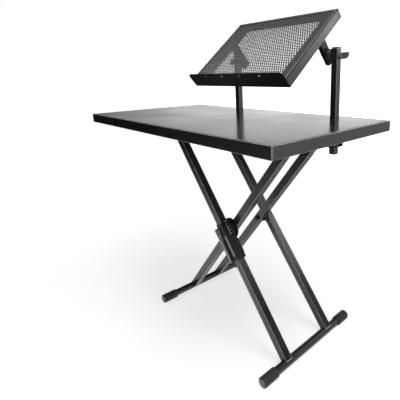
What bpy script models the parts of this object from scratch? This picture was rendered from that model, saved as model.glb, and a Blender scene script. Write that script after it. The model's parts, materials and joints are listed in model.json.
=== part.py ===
"""Two-tier DJ table: a folding scissor stand, a framed table top and a tilting perforated tray.

Lengths are in metres. X runs along the table's long side, Y from its front edge to its back and
Z up. The origin is on the floor under the middle of the table top.
"""
import math

import bmesh
import bpy
from mathutils import Matrix, Vector

# Table top: a board inside a folded steel rim
TOP_WIDTH = 1.000
TOP_DEPTH = 0.510
TOP_THICKNESS = 0.031
TOP_RIM_WIDTH = 0.018
TOP_LIP_WIDTH = 0.009
FIELD_GAP = 0.0008
TOP_SHEET = 0.0015

# Scissor legs: two square tubes to each frame, crossed at one pivot line
LEG_ANGLE = math.radians(51.03)
LEG_SIZE = 0.025
LEG_WALL = 0.0015
LEG_CORNER = 0.0022
LEG_FOOT_SETBACK = 0.002
LOWER_ARM = 0.43734
UPPER_ARM = 0.4043
PIVOT_X = 0.1241
LEG_A_Y = 0.0977
LEG_B_Y = 0.0592

# Feet
FOOT_RADIUS = 0.0125
FOOT_WALL = 0.0015
FOOT_HALF_LENGTH = 0.2010
CAP_RADIUS = 0.0158
CAP_LENGTH = 0.054
CAP_FLOOR = 0.004
CAP_CROWN = 0.003

# Rods, bolts and glides
ROD_RADIUS = 0.005
BOLT_HEAD_RADIUS = 0.009
BOLT_HEAD_HEIGHT = 0.0033
NUT_RADIUS = 0.0085
NUT_HEIGHT = 0.006
BOLT_OVERHANG = 0.002
SPACER_RADIUS = 0.020
CROSS_TUBE_RADIUS = 0.010
EDGE_CHAMFER = 0.0006
GLIDE_RADIUS = 0.010
GLIDE_LENGTH = 0.018
GLIDE_GAP = 0.0006
GLIDE_END_GAP = 0.001
GLIDE_CHAMFER = 0.0015

# Slide rails and hinge brackets under the table top
RAIL_WALL = 0.002
RAIL_WIDTH = 0.024
RAIL_LEG_GAP = 0.0018
RAIL_START_X = -0.425
RAIL_END_X = 0.040
BRACKET_WALL = 0.003
BRACKET_LENGTH = 0.060
BRACKET_FOOT = 0.032
BRACKET_DROP_RADIUS = 0.012
BRACKET_LEG_GAP = 0.001
AXLE_OVERHANG = 0.003

# Locking hub on the near pivot
HUB_RADIUS = 0.0290
DISC_RADIUS = 0.0360
TEETH_RADIUS = 0.0285
WHEEL_ROOT_RADIUS = 0.0250
WHEEL_TEETH = 20
WHEEL_TEETH_WIDTH = 0.0055
HUB_PLATE_WIDTH = 0.0021

# Lock housing, measured along the leg from the pivot down
HOUSING_TOP = -0.030
HOUSING_TOP_LEAN = 0.21
HOUSING_BOTTOM = 0.105
HOUSING_WALL = 0.003
HOUSING_BACK_WALL = 0.0014
HOUSING_TAPER_LENGTH = 0.012
HOUSING_CORNER = 0.0035
WINDOW_START = 0.016
WINDOW_END = 0.0915
WINDOW_WIDTH = 0.013
WINDOW_ACROSS = 0.005
PAWL_WIDTH = 0.0048
PAWL_HALF_HEIGHT = 0.0105
PAWL_END = 0.056
PAWL_CLEARANCE = 0.0004
PAWL_TOOTH_DEPTH = 0.003
SPRING_STOP = 0.080
SPRING_STOP_WIDTH = 0.004
SPRING_RADIUS = 0.0019
SPRING_WIRE = 0.0004
SPRING_TURNS = 6
COVER_WIDTH = 0.0014
COVER_HUB_GAP = 0.0025
COVER_END = 0.090
COVER_CORNER = 0.003

# Release lever; its hinge pin is beside the leg near the housing's lower end
LEVER_PIN = (0.098, -0.0180)
LEVER_EAR_RADIUS = 0.0038
LEVER_EAR_WIDTH = 0.016
LEVER_EAR_SLOPE = 0.010
LEVER_PIN_RADIUS = 0.002
LEVER_WALL = 0.0025
LEVER_FRONT_WALL = 0.0065
LEVER_CROWN = 0.0045
LEVER_CROWN_STEPS = 8
LEVER_BREADTH = 0.021
LEVER_FLANGE_TOP = -0.0060
LEVER_FLANGE_BOTTOM = -0.0110
LEVER_END_RADIUS = 0.0062
LEVER_END_SLOPE = 0.012
LEVER_CORNER = 0.005
LEVER_TOP = -0.017
LEVER_FACE_TOP = -0.0305
LEVER_FACE_BOTTOM = -0.0248
LEVER_SIDE_GAP = 0.0012
LEVER_BACK_GAP = 0.0008
LEVER_LIP = 0.0016
WEDGE_ROOT = 0.045
WEDGE_START = 0.034
WEDGE_LINE = 0.0215
WEDGE_GAP = 0.0005
WEDGE_TIP = -0.0175
LUG_TIP = -0.0195
LUG_END = 0.048
LUG_NOTCH = 0.0205

# Posts
POST_X = (-0.1404, 0.3310)
POST_Y = 0.2065
POST_SIZE = 0.022
POST_WALL = 0.0015
POST_CORNER = 0.0012
POST_BOTTOM = 0.593
POST_TOP = 0.927
POST_CAP_HEIGHT = 0.003
POST_CAP_CORNER = 0.002
POST_PLUG_LENGTH = 0.010
POST_HOLE_GAP = 0.0005
STRAP_BOTTOM = 0.6175
STRAP_WIDTH = 0.034
STRAP_HALF_SPAN = 0.0255
STRAP_FLANGE = 0.015
STRAP_WALL = 0.0025

# Tilting tray; its tilt axis runs along X through both posts
TILT_ANGLE = math.radians(40.6)
TILT_Z = 0.904
TRAY_WIDTH = 0.458
TRAY_LENGTH = 0.3135
TRAY_HEIGHT = 0.029
TRAY_SHEET = 0.0015
TRAY_TOP_FLANGE = 0.008
TRAY_BOTTOM_FLANGE = 0.012
TRAY_AXIS_ALONG = 0.212
TRAY_AXIS_BELOW = 0.068
PANEL_THICKNESS = 0.0012
PANEL_SIDE_MARGIN = 0.044
PANEL_FRONT_MARGIN = 0.022
PANEL_BACK_MARGIN = 0.022
PANEL_COLUMNS = 14
PANEL_ROWS = 10
PANEL_HOLE_RADIUS = 0.0075
TRAY_RAIL_WIDTH = 0.0365
TRAY_RAIL_WALL = 0.002
LIP_WIDTH = 0.460
LIP_HEIGHT = 0.0535
LIP_THICKNESS = 0.002
LIP_CORNER = 0.015
LIP_HOLES = ((-0.131, 0.043), (-0.0435, 0.043), (0.0435, 0.043), (0.131, 0.043))
LIP_HOLE_RADIUS = 0.004
LIP_SCREW_HOLES = ((-0.190, 0.015), (0.0, 0.015), (0.190, 0.015))
LIP_SCREW_RADIUS = 0.003

# Arms, knuckles and knobs
ARM_WIDTH = 0.016
ARM_DEPTH = 0.030
ARM_WALL = 0.002
ARM_BOTTOM = -0.092
KNUCKLE_RADIUS = 0.023
KNUCKLE_THICKNESS = 0.0070
KNUCKLE_CHAMFER = 0.0020
TILT_BOLT_RADIUS = 0.004
TILT_BOLT_HEAD_RADIUS = 0.0085
TILT_BOLT_HEAD_HEIGHT = 0.004
KNOB_LENGTH = 0.034
KNOB_HUB_RADIUS = 0.010
KNOB_HUB_LENGTH = 0.010
KNOB_BLADE_WIDTH = 0.008
KNOB_BLADE_HEIGHT = 0.020
KNOB_BLADE_CURVE = 0.016
KNOB_BLADE_SETBACK = 0.003
KNOB_ROUNDING = 0.0015

GAP = 0.0003
BORE_GAP = 0.0003
UNION_LAP = 0.0005
ROUND_SEGMENTS = 24
BORE_SEGMENTS = 12
RIM_SEGMENTS = 32
ARC_SEGMENTS = 6
REACH = 0.6

# Places worked out from the sizes above
FOOT_Z = CAP_RADIUS * math.cos(math.pi / ROUND_SEGMENTS)
PIVOT_Z = FOOT_Z + LOWER_ARM * math.sin(LEG_ANGLE)
TOP_AXIS_Z = PIVOT_Z + UPPER_ARM * math.sin(LEG_ANGLE)
BOARD_BOTTOM_Z = TOP_AXIS_Z + GLIDE_RADIUS + GLIDE_GAP + RAIL_WALL + GAP
UNDERSIDE_Z = BOARD_BOTTOM_Z - TOP_SHEET - GAP
TABLE_Z = UNDERSIDE_Z + TOP_THICKNESS
BOARD_TOP_Z = TABLE_Z - TOP_SHEET - GAP
TOP_B_X = PIVOT_X + UPPER_ARM * math.cos(LEG_ANGLE)
LEG_HALF = LEG_SIZE / 2
LEG_A_OUTER = LEG_A_Y + LEG_HALF
LEG_A_INNER = LEG_A_Y - LEG_HALF
LEG_B_OUTER = LEG_B_Y + LEG_HALF
LEG_B_INNER = LEG_B_Y - LEG_HALF
TRAY_CENTRE_X = sum(POST_X) / 2
TRAY_FRONT = -TRAY_AXIS_ALONG
TRAY_FLOOR = TRAY_AXIS_BELOW
SIDES = (("near", -1), ("far", 1))


def clear_scene():
    for item in list(bpy.data.objects):
        bpy.data.objects.remove(item, do_unlink=True)


def new_collection(name):
    collection = bpy.data.collections.new(name)
    bpy.context.scene.collection.children.link(collection)
    return collection


clear_scene()
PARTS = new_collection("two_tier_dj_table")
CUTTERS = new_collection("cutters")


def make_material(name, colour, roughness, metallic):
    material = bpy.data.materials.new(name)
    material.use_nodes = True
    shader = material.node_tree.nodes["Principled BSDF"]
    shader.inputs["Base Color"].default_value = (*colour, 1.0)
    shader.inputs["Roughness"].default_value = roughness
    shader.inputs["Metallic"].default_value = metallic
    return material


POWDER_COAT = ((0.055, 0.055, 0.057), 0.45, 0.0)
DARK_COAT = ((0.030, 0.030, 0.032), 0.50, 0.0)
LAMINATE = ((0.050, 0.050, 0.052), 0.28, 0.0)
PLASTIC = ((0.020, 0.020, 0.021), 0.55, 0.0)
RUBBER = ((0.018, 0.018, 0.018), 0.75, 0.0)
ZINC = ((0.55, 0.55, 0.56), 0.35, 1.0)
NYLON = ((0.10, 0.10, 0.10), 0.50, 0.0)


def add_object(name, mesh, finish, parent=None, location=(0, 0, 0), collection=PARTS):
    """Puts a mesh in the scene under its parent empty and gives it its own material."""
    item = bpy.data.objects.new(name, mesh)
    item.location = location
    item.parent = parent
    collection.objects.link(item)
    if finish:
        mesh.materials.append(make_material(name, *finish))
    return item


def add_cutter(name, mesh, parent=None, location=(0, 0, 0)):
    item = add_object(name, mesh, None, parent, location, CUTTERS)
    item.hide_render = True
    item.display_type = "WIRE"
    return item


def add_empty(name, location, rotation):
    empty = bpy.data.objects.new(name, None)
    empty.location = location
    empty.rotation_euler = rotation
    PARTS.objects.link(empty)
    return empty


def cut(item, cutter, operation="DIFFERENCE"):
    modifier = item.modifiers.new(cutter.name, "BOOLEAN")
    modifier.operation = operation
    modifier.solver = "EXACT"
    modifier.object = cutter


def box_mesh(name, size, centre=(0, 0, 0)):
    shape = bmesh.new()
    bmesh.ops.create_cube(shape, size=1.0)
    bmesh.ops.scale(shape, vec=Vector(size), verts=shape.verts)
    bmesh.ops.translate(shape, vec=Vector(centre), verts=shape.verts)
    mesh = bpy.data.meshes.new(name)
    shape.to_mesh(mesh)
    shape.free()
    return mesh


# Turns an outline's own X, Y and thickness into the plane that it is drawn in
PLANES = {
    "XY": Matrix.Identity(4),
    "XZ": Matrix.Rotation(math.radians(90), 4, "X"),
    "YZ": Matrix(((0, 0, 1, 0), (1, 0, 0, 0), (0, 1, 0, 0), (0, 0, 0, 1))),
}


def outline_mesh(name, outlines, thickness, plane, offset=0.0):
    """Fills flat outlines, the first the outer edge and the rest holes, and gives them thickness.

    The offset moves the body's middle along the direction of its thickness.
    """
    curve = bpy.data.curves.new(name, "CURVE")
    curve.dimensions = "2D"
    curve.fill_mode = "BOTH"
    curve.extrude = thickness / 2
    for outline in outlines:
        spline = curve.splines.new("POLY")
        spline.points.add(len(outline) - 1)
        for point, (across, up) in zip(spline.points, outline):
            point.co = (across, up, 0.0, 1.0)
        spline.use_cyclic_u = True
    source = bpy.data.objects.new(name, curve)
    CUTTERS.objects.link(source)
    bpy.context.view_layer.update()
    evaluated = source.evaluated_get(bpy.context.evaluated_depsgraph_get())
    mesh = bpy.data.meshes.new_from_object(evaluated)
    bpy.data.objects.remove(source, do_unlink=True)
    turn = PLANES[plane]
    direction = turn.to_3x3() @ Vector((0, 0, 1))
    if plane == "XZ":
        direction = -direction
    mesh.transform(Matrix.Translation(direction * offset) @ turn)
    shape = bmesh.new()
    shape.from_mesh(mesh)
    bmesh.ops.remove_doubles(shape, verts=shape.verts, dist=1e-6)
    bmesh.ops.recalc_face_normals(shape, faces=shape.faces)
    shape.to_mesh(mesh)
    shape.free()
    mesh.name = name
    return mesh


def arc(centre, radius, start, end, count=ARC_SEGMENTS):
    """Points on a round stretch of an outline, from one angle in degrees to another."""
    points = []
    for step in range(count + 1):
        angle = math.radians(start + (end - start) * step / count)
        across = centre[0] + radius * math.cos(angle)
        up = centre[1] + radius * math.sin(angle)
        points.append((across, up))
    return points


def circle(centre, radius, count=ROUND_SEGMENTS):
    return arc(centre, radius, 0, 360, count)[:-1]


def rectangle(low, high, radius=0.0, count=3):
    left, bottom = low
    right, top = high
    if radius == 0:
        return [(left, bottom), (right, bottom), (right, top), (left, top)]
    return (arc((left + radius, bottom + radius), radius, 180, 270, count)
            + arc((right - radius, bottom + radius), radius, 270, 360, count)
            + arc((right - radius, top - radius), radius, 0, 90, count)
            + arc((left + radius, top - radius), radius, 90, 180, count))


def square(size, radius=0.0):
    half = size / 2
    return rectangle((-half, -half), (half, half), radius)


def turned_object(name, profile, finish, parent, location, axis, segments=ROUND_SEGMENTS, closed=False):
    """Turns a profile of (radius, height) points about the height axis, laid along X, Y or Z."""
    shape = bmesh.new()
    corners = [shape.verts.new((radius, 0.0, height)) for radius, height in profile]
    for first, second in zip(corners, corners[1:]):
        shape.edges.new((first, second))
    if closed:
        shape.edges.new((corners[-1], corners[0]))
    mesh = bpy.data.meshes.new(name)
    shape.to_mesh(mesh)
    shape.free()
    item = add_object(name, mesh, finish, parent, location)
    screw = item.modifiers.new("turn", "SCREW")
    screw.axis = "Z"
    screw.angle = math.radians(360)
    screw.steps = segments
    screw.render_steps = segments
    screw.use_merge_vertices = True
    screw.merge_threshold = 0.00001
    screw.use_smooth_shade = True
    directions = {"X": (0, 1, 0), "-X": (0, -1, 0), "Y": (-1, 0, 0), "-Y": (1, 0, 0), "Z": (0, 0, 0)}
    turn = directions[axis]
    item.rotation_euler = [math.radians(90) * part for part in turn]
    return item


def shade(item, degrees=35):
    item.data.shade_smooth()
    item.data.set_sharp_from_angle(angle=math.radians(degrees))


def bevel(item, width, segments=1, angle=40):
    modifier = item.modifiers.new("rounded edges", "BEVEL")
    modifier.width = width
    modifier.segments = segments
    modifier.limit_method = "ANGLE"
    modifier.angle_limit = math.radians(angle)


# The two leg frames each have an empty on the pivot line. Frame A's X axis runs down to the right
# foot and frame B's X axis runs up to the right end of the table; Z is square to the leg.
FRAME_A = add_empty("frame_a_axis", (PIVOT_X, 0, PIVOT_Z), (0, LEG_ANGLE, 0))
FRAME_B = add_empty("frame_b_axis", (PIVOT_X, 0, PIVOT_Z), (0, -LEG_ANGLE, 0))
TILT = add_empty("tilt_axis", (TRAY_CENTRE_X, POST_Y, TILT_Z), (TILT_ANGLE, 0, 0))
LEVER = add_empty("lever_axis", (LEVER_PIN[0], 0, LEVER_PIN[1]), (0, 0, 0))
LEVER.parent = FRAME_A
PAWL = add_empty("pawl_axis", (0, 0, 0), (0, 0, 0))
PAWL.parent = FRAME_A


def cross_cutter(name, radius, parent, along, count=BORE_SEGMENTS):
    """A round cutter across the table, at a distance along a frame's leg from its pivot."""
    mesh = outline_mesh(name, [circle((along, 0), radius, count)], REACH, "XZ")
    return add_cutter(name, mesh, parent)


def build_leg(name, parent, y, foot_end, top_end, cutters):
    """A square tube with a rounded top end and a lower end shaped to sit on its foot tube."""
    toward_top = 1 if top_end > foot_end else -1
    corner = LEG_HALF - GAP
    if toward_top > 0:
        rounded = arc((top_end, 0), corner, -90, 90, 5)
    else:
        rounded = arc((top_end, 0), corner, 90, 270, 5)
    start = foot_end + toward_top * LEG_FOOT_SETBACK
    low = -LEG_HALF
    outline = [(start, low), (top_end, low)] + rounded + [(top_end, LEG_HALF), (start, LEG_HALF)]
    if toward_top < 0:
        outline = [(start, LEG_HALF), (top_end, LEG_HALF)] + rounded + [(top_end, low), (start, low)]
    mesh = outline_mesh(name, [outline], LEG_SIZE, "XZ", y)
    leg = add_object(name, mesh, POWDER_COAT, parent)
    bevel(leg, LEG_CORNER, 2, 60)
    hollow = LEG_SIZE - 2 * LEG_WALL
    middle = (foot_end + top_end) / 2
    length = abs(top_end - foot_end) + 4 * LEG_SIZE
    core = box_mesh(name + "_core", (length, hollow, hollow))
    cut(leg, add_cutter(name + "_core", core, parent, (middle, y, 0)))
    for cutter in cutters:
        cut(leg, cutter)
    return leg


def build_legs():
    bore = ROD_RADIUS + BORE_GAP
    seat = FOOT_RADIUS + GAP
    cutters_a = [cross_cutter("pivot_bore", bore, FRAME_A, 0),
                 cross_cutter("top_bore_a", bore, FRAME_A, -UPPER_ARM),
                 cross_cutter("foot_seat_a", seat, FRAME_A, LOWER_ARM, ROUND_SEGMENTS)]
    cutters_b = [cross_cutter("pivot_bore_b", bore, FRAME_B, 0),
                 cross_cutter("top_bore_b", bore, FRAME_B, UPPER_ARM),
                 cross_cutter("foot_seat_b", seat, FRAME_B, -LOWER_ARM, ROUND_SEGMENTS)]
    for side, sign in SIDES:
        build_leg("leg_a_" + side, FRAME_A, sign * LEG_A_Y, LOWER_ARM, -UPPER_ARM, cutters_a)
        build_leg("leg_b_" + side, FRAME_B, sign * LEG_B_Y, -LOWER_ARM, UPPER_ARM, cutters_b)


def build_foot(letter, parent, along):
    """A round tube across the floor with a rubber cap on each end."""
    half = FOOT_HALF_LENGTH
    bore = FOOT_RADIUS - FOOT_WALL
    tube = [(FOOT_RADIUS, half), (FOOT_RADIUS, -half), (bore, -half), (bore, half)]
    turned_object("foot_tube_" + letter, tube, POWDER_COAT, parent, (along, 0, 0), "Y", closed=True)
    inner = FOOT_RADIUS + GAP
    mouth = half + CAP_FLOOR + GAP - CAP_LENGTH
    end = half + GAP + CAP_FLOOR
    crown = CAP_CROWN
    profile = [(0, end)] + arc((CAP_RADIUS - crown, end - crown), crown, 90, 0, 2)
    profile += [(CAP_RADIUS, mouth), (inner, mouth), (inner, half + GAP)]
    profile += [(0, half + GAP)]
    for side, axis in (("front", "-Y"), ("back", "Y")):
        name = "foot_cap_{}_{}".format(letter, side)
        cap = turned_object(name, profile, RUBBER, parent, (along, 0, 0), axis)
        spin_to_flat(cap, parent)


def spin_to_flat(cap, parent):
    """Turns a faceted cap about its own axis until one facet lies flat on the floor."""
    placed = parent.rotation_euler.to_matrix() @ cap.rotation_euler.to_matrix()
    down = placed.inverted() @ Vector((0, 0, -1))
    facet = math.pi / ROUND_SEGMENTS
    cap.data.transform(Matrix.Rotation(math.atan2(down.y, down.x) - facet, 4, "Z"))


def rod_profile(radius, low, high, chamfer=EDGE_CHAMFER):
    return [(0, high), (radius - chamfer, high), (radius, high - chamfer),
            (radius, low + chamfer), (radius - chamfer, low), (0, low)]


def ring_profile(outer, inner, low, high, chamfer=0.0):
    if chamfer == 0:
        return [(outer, high), (outer, low), (inner, low), (inner, high)]
    return [(outer - chamfer, high), (outer, high - chamfer), (outer, low + chamfer),
            (outer - chamfer, low), (inner, low), (inner, high)]


def build_top_ends():
    """The rod and glides on frame A's upper ends and the axle through frame B's upper ends."""
    rail_outer = LEG_A_OUTER + RAIL_LEG_GAP + RAIL_WIDTH
    glide_end = rail_outer - RAIL_WALL - GLIDE_END_GAP
    glide_start = glide_end - GLIDE_LENGTH
    rod_end = glide_end - EDGE_CHAMFER
    turned_object("top_rod_a", rod_profile(ROD_RADIUS, -rod_end, rod_end), ZINC, FRAME_A,
                  (-UPPER_ARM, 0, 0), "Y", BORE_SEGMENTS)
    bore = ROD_RADIUS + BORE_GAP
    spacer_half = LEG_A_INNER - GAP
    profile = ring_profile(CROSS_TUBE_RADIUS, bore, -spacer_half, spacer_half)
    turned_object("cross_tube_a", profile, POWDER_COAT, FRAME_A, (-UPPER_ARM, 0, 0), "Y", BORE_SEGMENTS, True)
    for side, axis in (("near", "-Y"), ("far", "Y")):
        profile = ring_profile(GLIDE_RADIUS, bore, glide_start, glide_end, GLIDE_CHAMFER)
        turned_object("glide_" + side, profile, NYLON, FRAME_A, (-UPPER_ARM, 0, 0), axis, 16, True)
    axle_end = LEG_B_OUTER + BRACKET_LEG_GAP + BRACKET_WALL + AXLE_OVERHANG
    turned_object("top_axle_b", rod_profile(ROD_RADIUS, -axle_end, axle_end), ZINC, FRAME_B,
                  (UPPER_ARM, 0, 0), "Y", BORE_SEGMENTS)
    spacer_half = LEG_B_INNER - GAP
    profile = ring_profile(CROSS_TUBE_RADIUS, bore, -spacer_half, spacer_half)
    turned_object("cross_tube_b", profile, POWDER_COAT, FRAME_B, (UPPER_ARM, 0, 0), "Y", BORE_SEGMENTS, True)


def build_pivots():
    bore = ROD_RADIUS + BORE_GAP
    head = LEG_A_OUTER + GAP
    nut_high = LEG_B_INNER - GAP
    nut_low = nut_high - NUT_HEIGHT
    tip = nut_low - BOLT_OVERHANG
    top = head + BOLT_HEAD_HEIGHT
    radius = BOLT_HEAD_RADIUS
    profile = [(0, top), (radius - 2 * EDGE_CHAMFER, top), (radius, top - 2 * EDGE_CHAMFER),
               (radius, head), (ROD_RADIUS, head), (ROD_RADIUS, tip + EDGE_CHAMFER),
               (ROD_RADIUS - EDGE_CHAMFER, tip), (0, tip)]
    for (side, sign), axis in zip(SIDES, ("-Y", "Y")):
        turned_object("pivot_bolt_" + side, profile, DARK_COAT, FRAME_A, (0, 0, 0), axis, BORE_SEGMENTS)
        outlines = [circle((0, 0), NUT_RADIUS, 6), circle((0, 0), bore, BORE_SEGMENTS)]
        nut = outline_mesh("pivot_nut_" + side, outlines, NUT_HEIGHT, "XZ", sign * (nut_high + nut_low) / 2)
        add_object("pivot_nut_" + side, nut, DARK_COAT, FRAME_A)
    low = LEG_B_OUTER + GAP
    high = LEG_A_INNER - GAP
    profile = ring_profile(SPACER_RADIUS, bore, low, high)
    turned_object("pivot_spacer_far", profile, PLASTIC, FRAME_A, (0, 0, 0), "Y", closed=True)


# The lock sits between the near pair of legs, so its places along Y are negative
HUB_PLATE_OUTER = -(LEG_A_INNER - GAP)
HUB_PLATE_INNER = HUB_PLATE_OUTER + HUB_PLATE_WIDTH
TEETH_OUTER = HUB_PLATE_INNER + GAP
TEETH_INNER = TEETH_OUTER + WHEEL_TEETH_WIDTH
WHEEL_INNER = -(LEG_B_OUTER + GAP)
PAWL_Y = TEETH_OUTER + PAWL_WIDTH / 2
PAWL_INNER = TEETH_OUTER + PAWL_WIDTH
COVER_OUTER = PAWL_INNER + GAP
HOUSING_INNER_Y = COVER_OUTER - GAP
HOUSING_OUTER_Y = -(LEG_A_OUTER + GAP + HOUSING_WALL)
HOUSING_HALF = LEG_HALF + GAP + HOUSING_WALL


def tooth_points(tip, root, teeth):
    """Flat-topped teeth round a centre; tooth 0 points along the leg."""
    pitch = math.radians(360 / WHEEL_TEETH)
    points = []
    for tooth in teeth:
        for part, radius in ((-0.32, root), (-0.18, tip), (0.18, tip), (0.32, root)):
            angle = (tooth + part) * pitch
            points.append((radius * math.cos(angle), radius * math.sin(angle)))
    return points


def build_ratchet_wheel():
    """The toothed wheel and its backing disc turn with frame B; a plain plate on frame A faces them."""
    teeth = tooth_points(TEETH_RADIUS, WHEEL_ROOT_RADIUS, range(WHEEL_TEETH))
    hub = [circle((0, 0), HUB_RADIUS, RIM_SEGMENTS)]
    disc = [circle((0, 0), DISC_RADIUS, RIM_SEGMENTS)]
    bore_a = bpy.data.objects["pivot_bore"]
    bore_b = bpy.data.objects["pivot_bore_b"]
    for name, outlines, low, high, finish, frame, bore in (
            ("ratchet_wheel", [teeth], TEETH_OUTER, TEETH_INNER, ZINC, FRAME_B, bore_b),
            ("wheel_disc", disc, TEETH_INNER + GAP, WHEEL_INNER, DARK_COAT, FRAME_B, bore_b),
            ("hub_plate", hub, HUB_PLATE_OUTER, HUB_PLATE_INNER, DARK_COAT, FRAME_A, bore_a)):
        mesh = outline_mesh(name, outlines, high - low, "XZ", (low + high) / 2)
        cut(add_object(name, mesh, finish, frame), bore)


def build_lock_housing():
    """A moulded sleeve round three sides of the near leg; the fourth side holds the pawl."""
    half = HOUSING_HALF
    inner = half - HOUSING_WALL
    back = inner + HOUSING_BACK_WALL
    outer_y = HOUSING_OUTER_Y
    edge_y = HOUSING_INNER_Y
    corner = HOUSING_CORNER
    section = ([(edge_y, -half)] + arc((outer_y + corner, -half + corner), corner, 270, 180, 4)
               + arc((outer_y + corner, back - corner), corner, 180, 90, 4)
               + [(edge_y, back), (edge_y, inner), (outer_y + HOUSING_WALL, inner),
                  (outer_y + HOUSING_WALL, -inner), (edge_y, -inner)])
    length = HOUSING_BOTTOM - HOUSING_TOP
    mesh = outline_mesh("lock_housing", [section], length, "YZ", (HOUSING_TOP + HOUSING_BOTTOM) / 2)
    housing = add_object("lock_housing", mesh, PLASTIC, FRAME_A)

    reach = 2 * LEG_SIZE
    top_cut = [(HOUSING_TOP - reach, -reach), (HOUSING_TOP + HOUSING_TOP_LEAN * (half - reach), -reach),
               (HOUSING_TOP + HOUSING_TOP_LEAN * (half + reach), reach), (HOUSING_TOP - reach, reach)]
    end = HOUSING_BOTTOM + UNION_LAP
    start = end - HOUSING_TAPER_LENGTH
    front_cut = [(start, outer_y - UNION_LAP), (end, outer_y - UNION_LAP),
                 (end, outer_y + HOUSING_WALL - UNION_LAP)]
    back_cut = [(start, back + UNION_LAP), (end, back + UNION_LAP), (end, inner + UNION_LAP)]
    for name, outline, plane in (("housing_top_cut", top_cut, "XZ"), ("housing_front_taper", front_cut, "XY"),
                                 ("housing_back_taper", back_cut, "XZ")):
        cut(housing, add_cutter(name, outline_mesh(name, [outline], REACH, plane), FRAME_A))

    stop_size = (SPRING_STOP_WIDTH, edge_y - HUB_PLATE_OUTER - GAP, 2 * (inner + UNION_LAP))
    stop_place = (SPRING_STOP + SPRING_STOP_WIDTH / 2, (edge_y - GAP + HUB_PLATE_OUTER) / 2, 0)
    cut(housing, add_cutter("spring_stop", box_mesh("spring_stop", stop_size), FRAME_A, stop_place), "UNION")

    ear_root = -half + 2 * UNION_LAP
    ear_points = ([(LEVER_PIN[0] - LEVER_EAR_SLOPE, ear_root)]
                  + arc(LEVER_PIN, LEVER_EAR_RADIUS, 180, 360, 8)
                  + [(HOUSING_BOTTOM - UNION_LAP, ear_root)])
    ear = outline_mesh("lever_ear", [ear_points], LEVER_EAR_WIDTH, "XZ", -LEG_A_Y)
    cut(housing, add_cutter("lever_ear", ear, FRAME_A), "UNION")

    round_end = WINDOW_WIDTH / 2
    window = [arc((WINDOW_START + round_end, WINDOW_ACROSS), round_end, 90, 270, 8)
              + arc((WINDOW_END - round_end, WINDOW_ACROSS), round_end, -90, 90, 8)]
    window_mesh = outline_mesh("housing_window", window, 3 * HOUSING_WALL, "XZ",
                               outer_y + HOUSING_WALL / 2)
    cut(housing, add_cutter("housing_window", window_mesh, FRAME_A))
    head_mesh = outline_mesh("bolt_head_hole", [circle((0, 0), BOLT_HEAD_RADIUS + GAP)],
                             3 * HOUSING_WALL, "XZ", outer_y + HOUSING_WALL / 2)
    cut(housing, add_cutter("bolt_head_hole", head_mesh, FRAME_A))

    clear_width = LEG_SIZE
    clear_mesh = outline_mesh("hub_clearance", [circle((0, 0), HUB_RADIUS + 2 * GAP, RIM_SEGMENTS)],
                              clear_width, "XZ", HUB_PLATE_OUTER - GAP + clear_width / 2)
    cut(housing, add_cutter("hub_clearance", clear_mesh, FRAME_A))

    notch_size = (LUG_NOTCH, 2 * (edge_y - TEETH_OUTER + GAP), 3 * HOUSING_WALL)
    notch_place = (WEDGE_START - LEVER_SIDE_GAP + notch_size[0] / 2, edge_y, -half + HOUSING_WALL / 2)
    cut(housing, add_cutter("lug_notch", box_mesh("lug_notch", notch_size), FRAME_A, notch_place))

    pin_mesh = outline_mesh("pin_bore", [circle(LEVER_PIN, LEVER_PIN_RADIUS + BORE_GAP, BORE_SEGMENTS)],
                            4 * LEG_SIZE, "XZ", -LEG_A_Y)
    cut(housing, add_cutter("pin_bore", pin_mesh, FRAME_A))

    cover = rectangle((DISC_RADIUS + COVER_HUB_GAP, -half), (COVER_END, back), COVER_CORNER)
    cover_mesh = outline_mesh("pawl_cover", [cover], COVER_WIDTH, "XZ", COVER_OUTER + COVER_WIDTH / 2)
    add_object("pawl_cover", cover_mesh, DARK_COAT, FRAME_A)


def build_pawl():
    """The sliding toothed plate that locks the wheel, its side lug, and the spring behind it."""
    tip = HUB_RADIUS + PAWL_CLEARANCE
    root = tip + PAWL_TOOTH_DEPTH
    half = PAWL_HALF_HEIGHT
    front = [point for point in tooth_points(root, tip, (-1, 0, 1)) if abs(point[1]) < half]
    lug_start = WEDGE_LINE + WEDGE_GAP
    neck = HOUSING_HALF - HOUSING_WALL
    body = ([(root, -half)] + front + [(root, half), (PAWL_END, half), (PAWL_END, -half),
            (LUG_END, -half), (LUG_END, LUG_TIP), (lug_start - LUG_TIP, LUG_TIP), (lug_start + neck, -neck),
            (lug_start + neck, -half)])
    mesh = outline_mesh("lock_pawl", [body], PAWL_WIDTH, "XZ", PAWL_Y)
    add_object("lock_pawl", mesh, ZINC, PAWL)
    build_pawl_spring()


def build_pawl_spring():
    start = PAWL_END + GAP + SPRING_WIRE
    end = SPRING_STOP - GAP - SPRING_WIRE
    steps = 8 * SPRING_TURNS
    curve = bpy.data.curves.new("pawl_spring", "CURVE")
    curve.dimensions = "3D"
    curve.bevel_depth = SPRING_WIRE
    curve.bevel_resolution = 0
    curve.use_fill_caps = True
    spline = curve.splines.new("POLY")
    spline.points.add(steps)
    for step, point in enumerate(spline.points):
        angle = 2 * math.pi * step / 8
        along = start + (end - start) * step / steps
        point.co = (along, SPRING_RADIUS * math.cos(angle), SPRING_RADIUS * math.sin(angle), 1.0)
    add_object("pawl_spring", curve, ZINC, FRAME_A, (0, PAWL_Y, 0))
    turn_gap = (end - start) / SPRING_TURNS - 2 * SPRING_WIRE
    print("pawl spring: least gap between turns {:.2f} mm".format(turn_gap * 1000))


def lever_face(along):
    """How far out the lever's outer face lies; it leans in toward the pin."""
    slope = (LEVER_FACE_BOTTOM - LEVER_FACE_TOP) / (LEVER_PIN[0] - LEVER_TOP)
    return LEVER_FACE_TOP + slope * (along - LEVER_TOP)


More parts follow.
